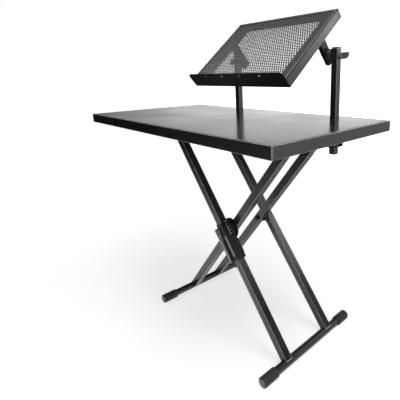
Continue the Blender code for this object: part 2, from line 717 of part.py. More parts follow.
def build_release_lever():
    """A crowned grip beside the housing. Its front laps the housing and its wedge draws the pawl."""
    pin = LEVER_PIN
    top = LEVER_TOP
    corner = LEVER_CORNER
    outer_y = HOUSING_OUTER_Y - LEVER_SIDE_GAP - LEVER_FRONT_WALL
    inner_y = HUB_PLATE_OUTER - LEVER_BACK_GAP
    outline = ([(top, LEVER_FLANGE_TOP), (top, LEVER_FACE_TOP + corner)]
               + arc((top + corner, LEVER_FACE_TOP + corner), corner, 205, 245, 2)
               + [(top + corner, lever_face(top) - UNION_LAP), (pin[0], lever_face(pin[0]) - 2 * UNION_LAP)]
               + arc(pin, LEVER_END_RADIUS, -70, 80, 8)
               + [(pin[0] - LEVER_END_SLOPE, LEVER_FLANGE_BOTTOM)])
    local = [(along - pin[0], up - pin[1]) for along, up in outline]
    mesh = outline_mesh("release_lever", [local], inner_y - outer_y, "XZ", (outer_y + inner_y) / 2)
    lever = add_object("release_lever", mesh, PLASTIC, LEVER)

    depth = 2 * LEG_SIZE
    reach = 3 * HOUSING_BOTTOM
    lean = -math.atan2(lever_face(pin[0]) - lever_face(top), pin[0] - top)
    face = lever_face(pin[0]) - pin[1]
    crown = []
    for step in range(LEVER_CROWN_STEPS + 1):
        turn = math.pi * step / LEVER_CROWN_STEPS
        crown.append((outer_y + LEVER_CROWN * (1 - math.sin(turn)), LEVER_BREADTH / 2 * (1 - math.cos(turn))))
    section = [(0, 0)] + crown + [(outer_y + LEVER_CROWN, depth), (0, depth)]
    hollow_y = (outer_y + LEVER_FRONT_WALL, inner_y - LEVER_WALL)
    hollow_size = (reach, hollow_y[1] - hollow_y[0], depth)
    hollow_place = (0, sum(hollow_y) / 2, face + LEVER_WALL + depth / 2)
    lip_size = (reach, 4 * LEVER_WALL, depth)
    lip_place = (0, inner_y, hollow_place[2] + LEVER_LIP)
    for name, tool, place, operation in (
            ("lever_crown", outline_mesh("lever_crown", [section], reach, "YZ"), (0, 0, face), "INTERSECT"),
            ("lever_hollow", box_mesh("lever_hollow", hollow_size), hollow_place, "DIFFERENCE"),
            ("lever_lip_cut", box_mesh("lever_lip_cut", lip_size), lip_place, "DIFFERENCE")):
        cutter = add_cutter(name, tool, LEVER, place)
        cutter.rotation_euler = (0, lean, 0)
        cut(lever, cutter, operation)

    wedge_low = lever_face(WEDGE_ROOT) + UNION_LAP
    wedge = [(WEDGE_START, wedge_low), (WEDGE_START, WEDGE_TIP), (WEDGE_LINE - WEDGE_TIP, WEDGE_TIP),
             (WEDGE_LINE - wedge_low, wedge_low)]
    tab_low = (WEDGE_START - 2 * LEVER_WALL, wedge_low)
    tab_high = (WEDGE_LINE - wedge_low + 2 * LEVER_WALL, wedge_low + LEVER_LIP)
    tab_start = inner_y - LEVER_WALL
    tab_width = PAWL_INNER - tab_start
    for name, outline, width, middle in (
            ("lever_tab", rectangle(tab_low, tab_high), tab_width, tab_start + tab_width / 2),
            ("lever_wedge", wedge, PAWL_WIDTH, PAWL_Y)):
        local = [(along - pin[0], up - pin[1]) for along, up in outline]
        cut(lever, add_cutter(name, outline_mesh(name, [local], width, "XZ", middle), LEVER), "UNION")

    pin_mesh = outline_mesh("lever_bore", [circle((0, 0), LEVER_PIN_RADIUS + BORE_GAP, BORE_SEGMENTS)],
                            4 * LEG_SIZE, "XZ", -LEG_A_Y)
    cut(lever, add_cutter("lever_bore", pin_mesh, LEVER))
    low = -(inner_y + LEVER_BACK_GAP)
    high = -(outer_y - LEVER_BACK_GAP)
    turned_object("lever_pin", rod_profile(LEVER_PIN_RADIUS, low, high), ZINC, FRAME_A,
                  (pin[0], 0, pin[1]), "-Y", BORE_SEGMENTS)


def folded_frame(name, size, sheet, top_flange, bottom_flange, finish, parent, location, corner):
    """A folded sheet frame: one outer wall all round with flanges turned in at its top and bottom."""
    width, depth, height = size
    half = (width / 2, depth / 2)
    shell = outline_mesh(name, [rectangle((-half[0], -half[1]), half, corner)], height, "XY")
    frame = add_object(name, shell, finish, parent, location)
    bevel(frame, 0.0010, 2, 60)
    core = box_mesh(name + "_core", (width - 2 * sheet, depth - 2 * sheet, height - 2 * sheet))
    cut(frame, add_cutter(name + "_core", core, parent, location))
    for side, flange, sign in (("top", top_flange, 1), ("bottom", bottom_flange, -1)):
        window = box_mesh(name + "_window", (width - 2 * flange, depth - 2 * flange, height))
        place = (location[0], location[1], location[2] + sign * height / 2)
        cut(frame, add_cutter(name + "_window_" + side, window, parent, place))
    return frame


def build_table_top():
    """The folded rim and the board in it, whose raised field is flush with the rim."""
    middle = (0, 0, UNDERSIDE_Z + TOP_THICKNESS / 2)
    folded_frame("table_frame", (TOP_WIDTH, TOP_DEPTH, TOP_THICKNESS), TOP_SHEET, TOP_LIP_WIDTH,
                 TOP_RIM_WIDTH, POWDER_COAT, None, middle, 0.004)
    inset = TOP_SHEET + GAP
    half = (TOP_WIDTH / 2 - inset, TOP_DEPTH / 2 - inset)
    outlines = [rectangle((-half[0], -half[1]), half)]
    hole = POST_SIZE / 2 + POST_HOLE_GAP
    for post_x in POST_X:
        outlines.append(rectangle((post_x - hole, POST_Y - hole), (post_x + hole, POST_Y + hole)))
    mesh = outline_mesh("table_board", outlines, TABLE_Z - BOARD_BOTTOM_Z, "XY")
    board = add_object("table_board", mesh, LAMINATE, None, (0, 0, (TABLE_Z + BOARD_BOTTOM_Z) / 2))
    field_inset = TOP_LIP_WIDTH + FIELD_GAP
    field = (TOP_WIDTH / 2 - field_inset, TOP_DEPTH / 2 - field_inset)
    rebate = [rectangle((-TOP_WIDTH / 2, -TOP_DEPTH / 2), (TOP_WIDTH / 2, TOP_DEPTH / 2)),
              rectangle((-field[0], -field[1]), field)]
    ring = outline_mesh("board_rebate", rebate, 2 * (TABLE_Z - BOARD_TOP_Z), "XY")
    cut(board, add_cutter("board_rebate", ring, None, (0, 0, TABLE_Z)))


def build_slide_rails():
    """Channels under the table, open inward, in which frame A's glides run."""
    length = RAIL_END_X - RAIL_START_X
    inner_half = GLIDE_RADIUS + GLIDE_GAP
    height = inner_half + RAIL_WALL
    open_y = LEG_A_OUTER + RAIL_LEG_GAP
    web_y = open_y + RAIL_WIDTH
    for side, sign in SIDES:
        section = [(sign * y, z) for y, z in (
            (open_y, height), (open_y, inner_half), (web_y - RAIL_WALL, inner_half),
            (web_y - RAIL_WALL, -inner_half), (open_y, -inner_half), (open_y, -height),
            (web_y, -height), (web_y, height))]
        mesh = outline_mesh("slide_rail_" + side, [section], length, "YZ")
        middle = (RAIL_START_X + RAIL_END_X) / 2
        add_object("slide_rail_" + side, mesh, DARK_COAT, None, (middle, 0, TOP_AXIS_Z))


def build_hinge_brackets():
    """Angle plates under the table that carry frame B's axle."""
    start_y = LEG_B_OUTER + BRACKET_LEG_GAP
    top = BOARD_BOTTOM_Z - GAP - TOP_AXIS_Z
    half = BRACKET_LENGTH / 2
    for side, sign in SIDES:
        root = top - 2 * UNION_LAP
        ear = [(half, root), (-half, root)] + arc((0, 0), BRACKET_DROP_RADIUS, 200, 340, 8)
        mesh = outline_mesh("hinge_bracket_" + side, [ear], BRACKET_WALL, "XZ",
                            sign * (start_y + BRACKET_WALL / 2))
        bracket = add_object("hinge_bracket_" + side, mesh, DARK_COAT, None, (TOP_B_X, 0, TOP_AXIS_Z))
        foot_mesh = box_mesh("bracket_foot", (BRACKET_LENGTH, BRACKET_FOOT, BRACKET_WALL))
        place = (TOP_B_X, sign * (start_y + BRACKET_FOOT / 2), TOP_AXIS_Z + top - BRACKET_WALL / 2)
        cut(bracket, add_cutter("bracket_foot_" + side, foot_mesh, None, place), "UNION")
        bore = outline_mesh("bracket_bore", [circle((0, 0), ROD_RADIUS + BORE_GAP, BORE_SEGMENTS)],
                            2 * LEG_SIZE, "XZ", sign * start_y)
        cut(bracket, add_cutter("bracket_bore_" + side, bore, None, (TOP_B_X, 0, TOP_AXIS_Z)))


def build_posts():
    hollow = POST_SIZE - 2 * POST_WALL
    post_middle = (POST_TOP + POST_BOTTOM) / 2
    for side, post_x in zip(("left", "right"), POST_X):
        outlines = [square(POST_SIZE, POST_CORNER), square(hollow)]
        tube = outline_mesh("post_" + side, outlines, POST_TOP - POST_BOTTOM, "XY")
        post = add_object("post_" + side, tube, POWDER_COAT, None, (post_x, POST_Y, post_middle))
        bore = outline_mesh("post_bore", [circle((0, 0), TILT_BOLT_RADIUS + BORE_GAP, BORE_SEGMENTS)],
                            2 * POST_SIZE, "YZ")
        cut(post, add_cutter("post_bore_" + side, bore, None, (post_x, POST_Y, TILT_Z)))

        outline = square(POST_SIZE, POST_CAP_CORNER)
        cap_mesh = outline_mesh("post_cap_" + side, [outline], POST_CAP_HEIGHT, "XY")
        cap_z = POST_TOP + GAP + POST_CAP_HEIGHT / 2
        cap = add_object("post_cap_" + side, cap_mesh, PLASTIC, None, (post_x, POST_Y, cap_z))
        bevel(cap, 0.0008, 1, 60)
        plug_mesh = box_mesh("post_plug", (hollow - 2 * GAP, hollow - 2 * GAP, POST_PLUG_LENGTH))
        plug_place = (post_x, POST_Y, POST_TOP + GAP + 2 * UNION_LAP - POST_PLUG_LENGTH / 2)
        cut(cap, add_cutter("post_plug_" + side, plug_mesh, None, plug_place), "UNION")

        build_post_strap(side, post_x)


def build_post_strap(side, post_x):
    """A hat-shaped steel strap under the table; the post passes through its lower plate."""
    top = BOARD_BOTTOM_Z - GAP
    inner = STRAP_HALF_SPAN - STRAP_WALL
    flange = STRAP_HALF_SPAN + STRAP_FLANGE - STRAP_WALL
    back_flange = TOP_DEPTH / 2 - TOP_RIM_WIDTH - GAP - POST_Y
    floor = STRAP_BOTTOM + STRAP_WALL
    wall_top = top - STRAP_WALL
    back_wall = back_flange - STRAP_WALL
    section = [(-flange, top), (-inner, top), (-inner, floor), (back_wall - STRAP_WALL, floor),
               (back_wall - STRAP_WALL, top), (back_flange, top), (back_flange, wall_top),
               (back_wall, wall_top), (back_wall, STRAP_BOTTOM), (-STRAP_HALF_SPAN, STRAP_BOTTOM),
               (-STRAP_HALF_SPAN, wall_top), (-flange, wall_top)]
    mesh = outline_mesh("post_strap_" + side, [section], STRAP_WIDTH, "YZ")
    strap = add_object("post_strap_" + side, mesh, DARK_COAT, None, (post_x, POST_Y, 0))
    hole = box_mesh("strap_hole", (POST_SIZE + 2 * GAP, POST_SIZE + 2 * GAP, 6 * STRAP_WALL))
    cut(strap, add_cutter("strap_hole_" + side, hole, None, (post_x, POST_Y, STRAP_BOTTOM)))


def build_tray():
    """The folded frame, the perforated panel in it, its side rails and the lip plate in front."""
    middle_along = TRAY_FRONT + TRAY_LENGTH / 2
    middle = (0, middle_along, TRAY_FLOOR + TRAY_HEIGHT / 2)
    folded_frame("tray_frame", (TRAY_WIDTH, TRAY_LENGTH, TRAY_HEIGHT), TRAY_SHEET, TRAY_TOP_FLANGE,
                 TRAY_BOTTOM_FLANGE, POWDER_COAT, TILT, middle, 0.002)
    build_perforated_panel(middle_along)
    build_tray_rails(middle_along)
    build_lip_plate()


def build_perforated_panel(middle_along):
    inset = TRAY_SHEET + GAP
    half = (TRAY_WIDTH / 2 - inset, TRAY_LENGTH / 2 - inset)
    outlines = [rectangle((-half[0], -half[1]), half)]
    left = -TRAY_WIDTH / 2 + PANEL_SIDE_MARGIN
    front = -TRAY_LENGTH / 2 + PANEL_FRONT_MARGIN
    column_step = (TRAY_WIDTH - 2 * PANEL_SIDE_MARGIN) / (PANEL_COLUMNS - 0.5)
    row_step = (TRAY_LENGTH - PANEL_FRONT_MARGIN - PANEL_BACK_MARGIN) / PANEL_ROWS
    for row in range(PANEL_ROWS):
        shift = 0.25 * column_step if row % 2 == 0 else 0.75 * column_step
        for column in range(PANEL_COLUMNS - row % 2):
            centre = (left + shift + column * column_step, front + (row + 0.5) * row_step)
            outlines.append(circle(centre, PANEL_HOLE_RADIUS, 6))
    mesh = outline_mesh("tray_panel", outlines, PANEL_THICKNESS, "XY")
    height = TRAY_FLOOR + TRAY_HEIGHT - TRAY_SHEET - GAP - PANEL_THICKNESS / 2
    add_object("tray_panel", mesh, POWDER_COAT, TILT, (0, middle_along, height))


def panel_underside():
    return TRAY_FLOOR + TRAY_HEIGHT - TRAY_SHEET - 2 * GAP - PANEL_THICKNESS


def build_tray_rails(middle_along):
    """Channels open downward along the tray's sides; the arms are welded inside them."""
    top = panel_underside()
    bottom = TRAY_FLOOR + TRAY_SHEET + GAP
    outer = TRAY_WIDTH / 2 - TRAY_SHEET - GAP
    inner = outer - TRAY_RAIL_WIDTH
    wall = TRAY_RAIL_WALL
    length = TRAY_LENGTH - 2 * (TRAY_SHEET + GAP)
    for side, sign in (("left", -1), ("right", 1)):
        section = [(sign * across, up) for across, up in (
            (inner, bottom), (inner, top), (outer, top), (outer, bottom), (outer - wall, bottom),
            (outer - wall, top - wall), (inner + wall, top - wall), (inner + wall, bottom))]
        mesh = outline_mesh("tray_rail_" + side, [section], length, "XZ")
        add_object("tray_rail_" + side, mesh, DARK_COAT, TILT, (0, middle_along, 0))


def build_lip_plate():
    half = LIP_WIDTH / 2
    outline = ([(-half, 0), (half, 0)] + arc((half - LIP_CORNER, LIP_HEIGHT - LIP_CORNER), LIP_CORNER, 0, 90)
               + arc((-half + LIP_CORNER, LIP_HEIGHT - LIP_CORNER), LIP_CORNER, 90, 180))
    holes = [circle(centre, LIP_HOLE_RADIUS, 12) for centre in LIP_HOLES]
    holes += [circle(centre, LIP_SCREW_RADIUS, 10) for centre in LIP_SCREW_HOLES]
    mesh = outline_mesh("lip_plate", [outline] + holes, LIP_THICKNESS, "XZ")
    along = TRAY_FRONT - GAP - LIP_THICKNESS / 2
    add_object("lip_plate", mesh, DARK_COAT, TILT, (0, along, TRAY_FLOOR))


def build_arms_and_knuckles():
    """On each side an arm hangs from the tray and turns against the post on a clamped knuckle."""
    arm_top = panel_underside() - TRAY_RAIL_WALL - GAP
    arm_bottom = TRAY_FLOOR + ARM_BOTTOM
    post_face = (POST_X[1] - POST_X[0]) / 2 - POST_SIZE / 2
    bore = TILT_BOLT_RADIUS + BORE_GAP
    post_disc = (post_face - GAP - KNUCKLE_THICKNESS, post_face - GAP)
    arm_disc = (post_disc[0] - GAP - KNUCKLE_THICKNESS, post_disc[0] - GAP)
    arm_outer = arm_disc[0] - GAP
    arm_inner = arm_outer - ARM_WIDTH
    for side, sign, axis in (("left", -1, "-X"), ("right", 1, "X")):
        middle = sign * (arm_outer + arm_inner) / 2
        half_width = ARM_WIDTH / 2
        half_depth = ARM_DEPTH / 2
        outlines = [rectangle((-half_width, -half_depth), (half_width, half_depth), 0.0015),
                    rectangle((-half_width + ARM_WALL, -half_depth + ARM_WALL),
                              (half_width - ARM_WALL, half_depth - ARM_WALL))]
        tube = outline_mesh("tray_arm_" + side, outlines, arm_top - arm_bottom, "XY")
        arm = add_object("tray_arm_" + side, tube, DARK_COAT, TILT, (middle, 0, (arm_top + arm_bottom) / 2))
        bore_mesh = outline_mesh("arm_bore", [circle((0, 0), bore, BORE_SEGMENTS)], 0.06, "YZ")
        cut(arm, add_cutter("arm_bore_" + side, bore_mesh, TILT, (middle, 0, 0)))

        profile = ring_profile(KNUCKLE_RADIUS, bore, arm_disc[0], arm_disc[1], KNUCKLE_CHAMFER)
        turned_object("knuckle_arm_disc_" + side, profile, PLASTIC, TILT, (0, 0, 0), axis, closed=True)
        profile = ring_profile(KNUCKLE_RADIUS, bore, post_disc[0], post_disc[1], KNUCKLE_CHAMFER)
        place = (TRAY_CENTRE_X, POST_Y, TILT_Z)
        turned_object("knuckle_post_disc_" + side, profile, PLASTIC, None, place, axis, closed=True)
        build_tilt_bolt(side, axis, arm_inner, post_face)
        build_knob(side, sign, post_face + POST_SIZE)


def build_tilt_bolt(side, axis, arm_inner, post_face):
    head = arm_inner - GAP
    top = head - TILT_BOLT_HEAD_HEIGHT
    tip = post_face + POST_SIZE + KNOB_HUB_LENGTH
    radius = TILT_BOLT_RADIUS
    head_radius = TILT_BOLT_HEAD_RADIUS
    profile = [(0, tip), (radius - EDGE_CHAMFER, tip), (radius, tip - EDGE_CHAMFER), (radius, head),
               (head_radius, head), (head_radius, top + 2 * EDGE_CHAMFER),
               (head_radius - 2 * EDGE_CHAMFER, top), (0, top)]
    turned_object("tilt_bolt_" + side, profile, DARK_COAT, TILT, (0, 0, 0), axis, BORE_SEGMENTS)


def build_knob(side, sign, face):
    """A thumb-turn: a round hub on the bolt with one blade, straight on one edge and curved on the other."""
    start = face + GAP
    end = start + KNOB_LENGTH
    half = KNOB_BLADE_HEIGHT / 2
    root = start + KNOB_BLADE_SETBACK
    blade = [(root, half), (root, -half)]
    blade += arc((end - KNOB_BLADE_CURVE, KNOB_BLADE_CURVE - half), KNOB_BLADE_CURVE, -90, 0, 5)
    blade += [(end, half)]
    outline = [(sign * across, sign * up) for across, up in blade]
    mesh = outline_mesh("tilt_knob_" + side, [outline], KNOB_BLADE_WIDTH, "XZ")
    place = (TRAY_CENTRE_X, POST_Y, TILT_Z)
    knob = add_object("tilt_knob_" + side, mesh, PLASTIC, None, place)
    bevel(knob, KNOB_ROUNDING, 1, 50)
    hub = outline_mesh("knob_hub_" + side, [circle((0, 0), KNOB_HUB_RADIUS, 16)], KNOB_HUB_LENGTH, "YZ",
                       sign * (start + KNOB_HUB_LENGTH / 2))
    cut(knob, add_cutter("knob_hub_" + side, hub, None, place), "UNION")
    bore = outline_mesh("knob_bore_" + side, [circle((0, 0), TILT_BOLT_RADIUS + BORE_GAP, BORE_SEGMENTS)],
                        2 * (KNOB_HUB_LENGTH + UNION_LAP), "YZ", sign * start)
    cut(knob, add_cutter("knob_bore_" + side, bore, None, place))


build_legs()
build_foot("a", FRAME_A, LOWER_ARM)
build_foot("b", FRAME_B, -LOWER_ARM)
build_top_ends()
build_pivots()
build_ratchet_wheel()
build_lock_housing()
build_pawl()
build_release_lever()
build_table_top()
build_slide_rails()
build_hinge_brackets()
build_posts()
build_tray()
build_arms_and_knuckles()
for part in PARTS.objects:
    if part.type == "MESH":
        shade(part)
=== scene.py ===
"""Looks of the two-tier DJ table: surfaces, the fine perforated sheet, fasteners and the studio."""
import json
import math

import bmesh
import bpy
from mathutils import Matrix, Vector


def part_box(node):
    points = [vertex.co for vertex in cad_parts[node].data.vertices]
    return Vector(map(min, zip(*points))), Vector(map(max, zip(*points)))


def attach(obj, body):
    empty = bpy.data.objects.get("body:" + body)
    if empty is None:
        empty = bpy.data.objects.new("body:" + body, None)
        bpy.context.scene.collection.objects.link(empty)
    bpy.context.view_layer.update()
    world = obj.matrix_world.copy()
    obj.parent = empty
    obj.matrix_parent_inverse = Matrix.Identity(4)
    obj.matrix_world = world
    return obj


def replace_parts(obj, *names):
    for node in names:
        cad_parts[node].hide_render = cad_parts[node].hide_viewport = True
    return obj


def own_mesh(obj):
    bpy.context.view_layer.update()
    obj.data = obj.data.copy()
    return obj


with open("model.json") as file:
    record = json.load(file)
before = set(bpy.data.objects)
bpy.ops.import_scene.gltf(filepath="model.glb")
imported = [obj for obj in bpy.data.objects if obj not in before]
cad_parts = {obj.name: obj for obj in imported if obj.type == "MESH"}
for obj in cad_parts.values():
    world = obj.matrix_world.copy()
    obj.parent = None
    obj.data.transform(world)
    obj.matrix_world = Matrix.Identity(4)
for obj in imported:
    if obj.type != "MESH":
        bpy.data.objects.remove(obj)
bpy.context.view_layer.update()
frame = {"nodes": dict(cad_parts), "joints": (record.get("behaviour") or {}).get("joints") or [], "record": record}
NODES = frame["nodes"]
JOINTS = {joint["name"]: joint for joint in frame["joints"]}

# The tray's own frame: X along the tilt axis, Y up the slope and Z square to the panel
TILT_ANGLE = math.radians(40.6)
TRAY = Matrix.Translation(JOINTS["tray_tilt"]["pos_m"]) @ Matrix.Rotation(TILT_ANGLE, 4, "X")
TRAY_UP = TRAY.to_3x3() @ Vector((0, 0, 1))
TRAY_AHEAD = TRAY.to_3x3() @ Vector((0, -1, 0))

# Leg A's own frame: X down the leg from the pivot, Y as in the world, Z square to the leg
LEG_A_SLOPE = math.radians(51.03)
LEG_A = Matrix.Translation(JOINTS["fold"]["pos_m"]) @ Matrix.Rotation(LEG_A_SLOPE, 4, "Y")
LEG_A_DOWN = LEG_A.to_3x3() @ Vector((1, 0, 0))
LEG_A_SQUARE = LEG_A.to_3x3() @ Vector((0, 0, 1))

WHITE = (1.0, 1.0, 1.0, 1.0)
BEVEL_SAMPLES = 8
# Cosines between the face and its rounded normal where the painted arris highlight begins to show and is in full
ARRIS_HIGHLIGHT_COSINES = (0.90, 0.998)


def new_tree(name):
    """A new material with its node tree, its main shader and the object's own coordinates."""
    material = bpy.data.materials.new(name)
    material.use_nodes = True
    tree = material.node_tree
    shader = tree.nodes["Principled BSDF"]
    place = tree.nodes.new("ShaderNodeTexCoord").outputs["Object"]
    return material, tree, shader, place


def mapped(tree, place, scale):
    """Coordinates stretched by a scale along each axis."""
    node = tree.nodes.new("ShaderNodeMapping")
    node.inputs["Scale"].default_value = scale
    tree.links.new(place, node.inputs["Vector"])
    return node.outputs["Vector"]


def noise(tree, vector, scale, detail=2.0, roughness=0.5):
    node = tree.nodes.new("ShaderNodeTexNoise")
    node.inputs["Scale"].default_value = scale
    node.inputs["Detail"].default_value = detail
    node.inputs["Roughness"].default_value = roughness
    tree.links.new(vector, node.inputs["Vector"])
    return node.outputs["Fac"]


def remap(tree, value, low, high, from_low=0.3, from_high=0.7):
    """A value moved from one range to another; the default range is where noise mostly lies."""
    node = tree.nodes.new("ShaderNodeMapRange")
    node.inputs["From Min"].default_value = from_low
    node.inputs["From Max"].default_value = from_high
    node.inputs["To Min"].default_value = low
    node.inputs["To Max"].default_value = high
    tree.links.new(value, node.inputs["Value"])
    return node.outputs["Result"]


def grey(level):
    return (level, level, level)


def blend_colour(tree, factor, first, second):
    node = tree.nodes.new("ShaderNodeMix")
    node.data_type = "RGBA"
    node.inputs["A"].default_value = (*first, 1.0)
    node.inputs["B"].default_value = (*second, 1.0)
    tree.links.new(factor, node.inputs["Factor"])
    return node.outputs["Result"]


def math_node(tree, operation, first, second):
    """A sum, product or choice of two values, each a number or another node's output."""
    node = tree.nodes.new("ShaderNodeMath")
    node.operation = operation
    for socket, value in zip(node.inputs, (first, second)):
        if isinstance(value, (int, float)):
            socket.default_value = value
        else:
            tree.links.new(value, socket)
    return node.outputs[0]


def rounded_normal(tree, radius):
    """The surface direction with every arris rounded by a radius."""
    node = tree.nodes.new("ShaderNodeBevel")
    node.samples = BEVEL_SAMPLES
    node.inputs["Radius"].default_value = radius
    return node.outputs["Normal"]


def paint_arris_highlight(tree, colour, normal, light, share):
    """Mixes a lighter tone into a colour along the arrises: a painted highlight where rounded edges catch the
    light.
    """
    turned = tree.nodes.new("ShaderNodeVectorMath")
    turned.operation = "DOT_PRODUCT"
    tree.links.new(normal, turned.inputs[0])
    tree.links.new(tree.nodes.new("ShaderNodeNewGeometry").outputs["Normal"], turned.inputs[1])
    mask = remap(tree, turned.outputs["Value"], share, 0.0, *ARRIS_HIGHLIGHT_COSINES)
    node = tree.nodes.new("ShaderNodeMix")
    node.data_type = "RGBA"
    node.inputs["B"].default_value = (*grey(light), 1.0)
    tree.links.new(colour, node.inputs["A"])
    tree.links.new(mask, node.inputs["Factor"])
    return node.outputs["Result"]


def bump(tree, shader, height, strength, distance, normal=None):
    node = tree.nodes.new("ShaderNodeBump")
    node.inputs["Strength"].default_value = strength
    node.inputs["Distance"].default_value = distance
    tree.links.new(height, node.inputs["Height"])
    if normal:
        tree.links.new(normal, node.inputs["Normal"])
    tree.links.new(node.outputs["Normal"], shader.inputs["Normal"])


def coated_steel(name, tones, roughness, level=0.5, edge=0.10, round_off=0.0022):
    """Powder coat: a fine orange-peel skin, faint specks, patches of gloss and a painted highlight along the
    arrises.
    """
    material, tree, shader, place = new_tree(name)
    fine = noise(tree, place, scale=1400.0)
    broad = noise(tree, place, scale=9.0, detail=3.0)
    tone = blend_colour(tree, remap(tree, fine, 0.0, 1.0, 0.35, 0.75), grey(tones[0]), grey(tones[1]))
    normal = rounded_normal(tree, round_off)
    # The edge tone is a painted highlight along the arrises
    tree.links.new(paint_arris_highlight(tree, tone, normal, edge, share=0.9), shader.inputs["Base Color"])
    tree.links.new(remap(tree, broad, roughness - 0.05, roughness + 0.06), shader.inputs["Roughness"])
    shader.inputs["Specular IOR Level"].default_value = level
    bump(tree, shader, fine, strength=0.25, distance=0.0002, normal=normal)
    return material


def grained_board(name, tones, roughness):
    """Laminate with a very fine pressed grain along the table's length."""
    material, tree, shader, place = new_tree(name)
    grain = noise(tree, mapped(tree, place, (60.0, 900.0, 900.0)), scale=1.0, detail=3.0)
    broad = noise(tree, place, scale=4.0)
    tone = blend_colour(tree, grain, grey(tones[0]), grey(tones[1]))
    normal = rounded_normal(tree, 0.0012)
    # The light tone is a painted highlight along the board's arrises
    tree.links.new(paint_arris_highlight(tree, tone, normal, light=0.80, share=0.9), shader.inputs["Base Color"])
    tree.links.new(remap(tree, broad, roughness - 0.03, roughness + 0.04), shader.inputs["Roughness"])
    shader.inputs["Specular IOR Level"].default_value = 1.0
    bump(tree, shader, grain, strength=0.05, distance=0.0001, normal=normal)
    return material


def moulded_plastic(name, tones, roughness, grain=2200.0, edge=0.06, level=0.5, index=1.5):
    """Spark-eroded mould texture with a faint flow variation."""
    material, tree, shader, place = new_tree(name)
    fine = noise(tree, place, scale=grain, detail=3.0, roughness=0.7)
    broad = noise(tree, place, scale=30.0)
    tone = blend_colour(tree, broad, grey(tones[0]), grey(tones[1]))
    normal = rounded_normal(tree, 0.0010)
    # The edge tone is a painted highlight along the arrises
    tree.links.new(paint_arris_highlight(tree, tone, normal, edge, share=0.7), shader.inputs["Base Color"])
    tree.links.new(remap(tree, fine, roughness - 0.08, roughness + 0.08), shader.inputs["Roughness"])
    shader.inputs["Specular IOR Level"].default_value = level
    shader.inputs["IOR"].default_value = index
    bump(tree, shader, fine, strength=0.3, distance=0.0001, normal=normal)
    return material


def plated_steel(name, colour, dark, roughness):
    """Bright zinc with fine turning marks and slight clouding."""
    material, tree, shader, place = new_tree(name)
    lines = noise(tree, mapped(tree, place, (3000.0, 300.0, 3000.0)), scale=1.0)
    cloud = noise(tree, place, scale=160.0, detail=3.0)
    tree.links.new(blend_colour(tree, cloud, dark, colour), shader.inputs["Base Color"])
    tree.links.new(remap(tree, lines, roughness - 0.08, roughness + 0.12), shader.inputs["Roughness"])
    shader.inputs["Metallic"].default_value = 1.0
    bump(tree, shader, lines, strength=0.15, distance=0.00005)
    return material


# In each material, edge is the tone of its painted highlight along the arrises
COAT = coated_steel("powder_coat", (0.009, 0.022), roughness=0.28, level=1.0, edge=0.80)
DARK = coated_steel("dark_coat", (0.005, 0.010), roughness=0.42, edge=0.05)
FRAME = coated_steel("frame_coat", (0.008, 0.018), roughness=0.28, level=1.0, edge=0.02, round_off=0.0003)
# Near black and dull: painted shade along the tray frame's top arris
ARRIS_PAINTED_SHADE = coated_steel("arris_painted_shade", (0.003, 0.006), roughness=0.60, level=0.2, edge=0.01, round_off=0.0002)
# A lighter copy of the powder coat: painted highlight on the tray flange's top
FLANGE_PAINTED_HIGHLIGHT = coated_steel("flange_painted_highlight", (0.13, 0.17), roughness=0.34, level=0.8, edge=0.20)
# A lighter copy of the powder coat: painted light on the perforated sheet's upward face
SHEET_PAINTED_LIGHT = coated_steel("sheet_painted_light_coat", (0.080, 0.120), roughness=0.36, level=0.7, round_off=0.0002)
BOARD = grained_board("laminate", (0.010, 0.018), roughness=0.19)
PLASTIC = moulded_plastic("moulded_plastic", (0.006, 0.011), roughness=0.45, edge=0.10)
# Lighter than the housing's plastic: painted light on the lever's ridge, with a glossier surface as well
LEVER_PAINTED_LIGHT = moulded_plastic("lever_painted_light_plastic", (0.050, 0.060), roughness=0.26, grain=1600.0, edge=0.30, level=1.0,
                       index=1.9)
KNOB = moulded_plastic("knob_plastic", (0.11, 0.15), roughness=0.55, grain=900.0, edge=0.30)
RUBBER = moulded_plastic("moulded_rubber", (0.026, 0.040), roughness=0.50, grain=1500.0, edge=0.20)
# Pale plastic of the foot cap plugs, also used for the painted highlight bead round the board
PLUG_AND_RIM_HIGHLIGHT = moulded_plastic("plug_and_rim_highlight", (0.22, 0.28), roughness=0.50, grain=1800.0, edge=0.50)
# Pale plastic: painted light in the lock housing's slot
SLOT_PAINTED_LIGHT = moulded_plastic("slot_painted_light_plastic", (0.34, 0.42), roughness=0.45, grain=1600.0, edge=0.90)
NYLON = moulded_plastic("moulded_nylon", (0.08, 0.11), roughness=0.50)
ZINC = plated_steel("zinc_plate", (0.62, 0.62, 0.63), (0.42, 0.42, 0.43), roughness=0.30)

SLOT_LOOKS = {"powder_coat": COAT, "dark_coat": DARK, "laminate": BOARD, "plastic": PLASTIC,
              "rubber": RUBBER, "nylon": NYLON, "zinc": ZINC}

# Nodes whose surface differs from that of their slot
NODE_LOOKS = {"tilt_knob_left": KNOB, "tilt_knob_right": KNOB, "release_lever": LEVER_PAINTED_LIGHT, "ratchet_wheel": DARK,
              "tray_frame": FRAME}


def dress_nodes():
    """Gives each CAD node its own surface, or else that of its material slot."""
    slots = {part["node"]: part["material_slot"] for part in frame["record"]["subparts"]}
    for name, item in NODES.items():
        item.data.materials.clear()
        item.data.materials.append(NODE_LOOKS.get(name, SLOT_LOOKS[slots[name]]))


def add_piece(name, mesh, material, body):
    piece = bpy.data.objects.new(name, mesh)
    bpy.context.scene.collection.objects.link(piece)
    mesh.materials.append(material)
    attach(piece, body)
    return piece


def finished_mesh(name, shape):
    """A mesh from a closed bmesh shape, with its faces turned outwards."""
    bmesh.ops.recalc_face_normals(shape, faces=shape.faces)
    mesh = bpy.data.meshes.new(name)
    shape.to_mesh(mesh)
    shape.free()
    return mesh


